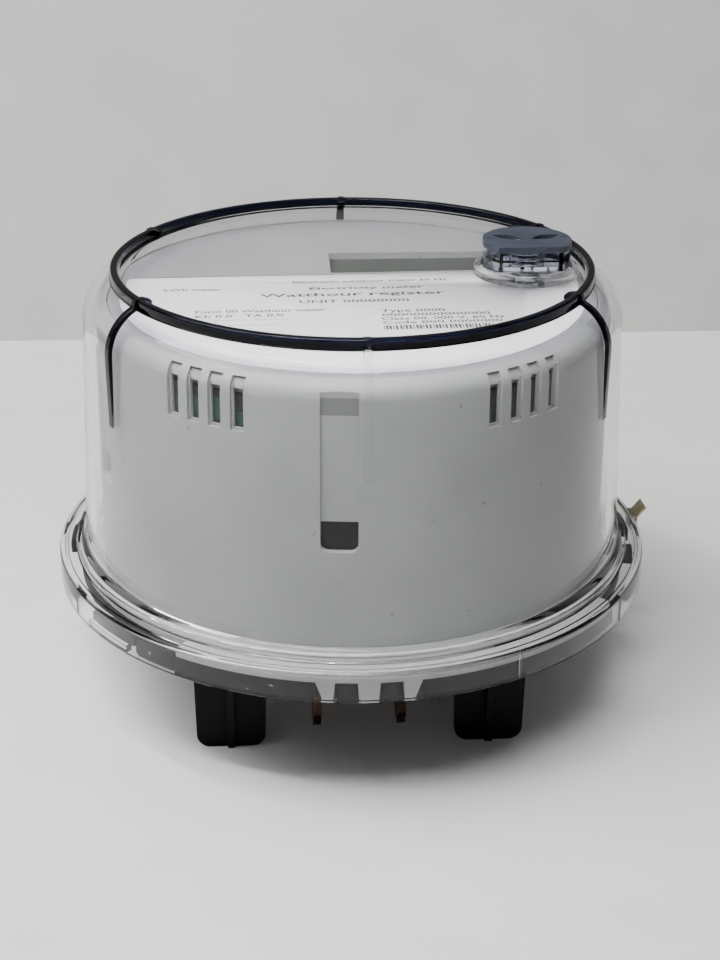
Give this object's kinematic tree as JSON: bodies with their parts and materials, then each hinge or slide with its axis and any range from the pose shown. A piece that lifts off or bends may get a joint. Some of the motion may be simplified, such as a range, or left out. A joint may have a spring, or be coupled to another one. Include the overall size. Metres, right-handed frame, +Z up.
{
  "type": "electricity meter",
  "caption": "Round socket-type electricity meter with a clear twist-on cover, push and turn reset knob, display and contact blades.",
  "frame": {"origin": "on the meter's axis, in the plane of the leg ends", "axes": "+Z up from the leg ends to the face, -Y to the lower edge of the nameplate, +X to the right of the nameplate as read"},
  "size_m": [0.1797, 0.1764, 0.1363],
  "materials": {
    "clear_plastic": "clear moulded polycarbonate, faint violet tint",
    "shroud_plastic": "light cool grey moulded plastic, fine texture",
    "plate_plastic": "light grey moulded plastic, smooth",
    "label_film": "white printed polyester film",
    "base_plastic": "charcoal glass-filled plastic",
    "knob_plastic": "blue-grey moulded plastic",
    "button_plastic": "grey moulded plastic",
    "display_glass": "grey-green liquid crystal display glass",
    "light_guide": "milky light guide",
    "rubber": "soft black rubber",
    "blade_metal": "tin-plated copper, worn",
    "copper": "bare copper",
    "brass": "plain brass",
    "steel": "zinc-plated or spring steel",
    "core_metal": "laminated or wound magnetic core",
    "sensor_plastic": "black moulded plastic",
    "potting": "blue epoxy",
    "circuit_board": "green circuit board",
    "capacitor_can": "sleeved aluminium can"
  },
  "bodies": {
    "base": {"base_housing": "base_plastic", "inner_shroud": "shroud_plastic", "nameplate": "plate_plastic", "label": "label_film", "display_glass": "display_glass", "display_holder": "shroud_plastic", "display_backlight": "light_guide", "contact_strips": "rubber", "line_blade_1": "blade_metal", "line_blade_2": "blade_metal", "line_blade_3": "blade_metal", "line_blade_4": "blade_metal", "load_blade_1": "blade_metal", "load_blade_2": "blade_metal", "load_blade_3": "blade_metal", "load_blade_4": "blade_metal", "blade_pins": "steel", "current_bar_left": "copper", "current_bar_right": "copper", "bar_rivets": "copper", "sensor_case_left": "sensor_plastic", "sensor_case_right": "sensor_plastic", "sensor_core_left": "core_metal", "sensor_core_right": "core_metal", "sensor_potting_left": "potting", "sensor_potting_right": "potting", "sensor_leads": "copper", "voltage_pins": "brass", "main_board": "circuit_board", "display_board": "circuit_board", "board_standoffs": "brass", "board_screws": "steel", "board_connector": "sensor_plastic", "transformer_core": "core_metal", "transformer_coil": "copper", "filter_capacitors": "capacitor_can", "surge_discs": "potting", "battery_holder": "sensor_plastic", "backup_battery": "capacitor_can", "radio_board": "circuit_board", "radio_header": "sensor_plastic", "radio_shield": "steel", "antenna": "copper", "push_switches": "steel"},
    "cover": {"cover_shell": "clear_plastic", "cover_gasket": "rubber", "ground_clip": "brass", "plunger_spring": "steel", "knob_seal_ring": "rubber"},
    "knob_slider": {"thrust_washer": "steel"},
    "knob": {"knob_cap": "knob_plastic", "knob_body": "clear_plastic", "knob_stem": "knob_plastic", "knob_clip": "steel"},
    "reset_button": {"reset_button": "button_plastic"},
    "test_button": {"test_button": "button_plastic"}
  },
  "joints": [
    {"name": "cover_twist", "type": "hinge", "parent": "base", "child": "cover", "pos_m": [0, 0, 0.042], "axis": [0, 0, -1], "range_deg": [0, 14]},
    {"name": "knob_press", "type": "slide", "parent": "cover", "child": "knob_slider", "axis": [0, 0, -1], "range_m": [0, 0.002], "stiffness_N_per_m": 300, "springref_m": -0.004, "deforming": ["plunger_spring"]},
    {"name": "knob_turn", "type": "hinge", "parent": "knob_slider", "child": "knob", "pos_m": [0.05, -0.0002, 0.1345], "axis": [0, 0, 1], "range_deg": [0, 90]},
    {"name": "reset_press", "type": "slide", "parent": "base", "child": "reset_button", "axis": [0, 0, -1], "range_m": [0, 0.002]},
    {"name": "test_press", "type": "slide", "parent": "base", "child": "test_button", "axis": [0, 0, -1], "range_m": [0, 0.001], "stiffness_N_per_m": 400, "springref_m": -0.002}
  ],
  "couplings": [
    {"joint": "reset_press", "follows": "knob_press", "ratio": 1}
  ]
}
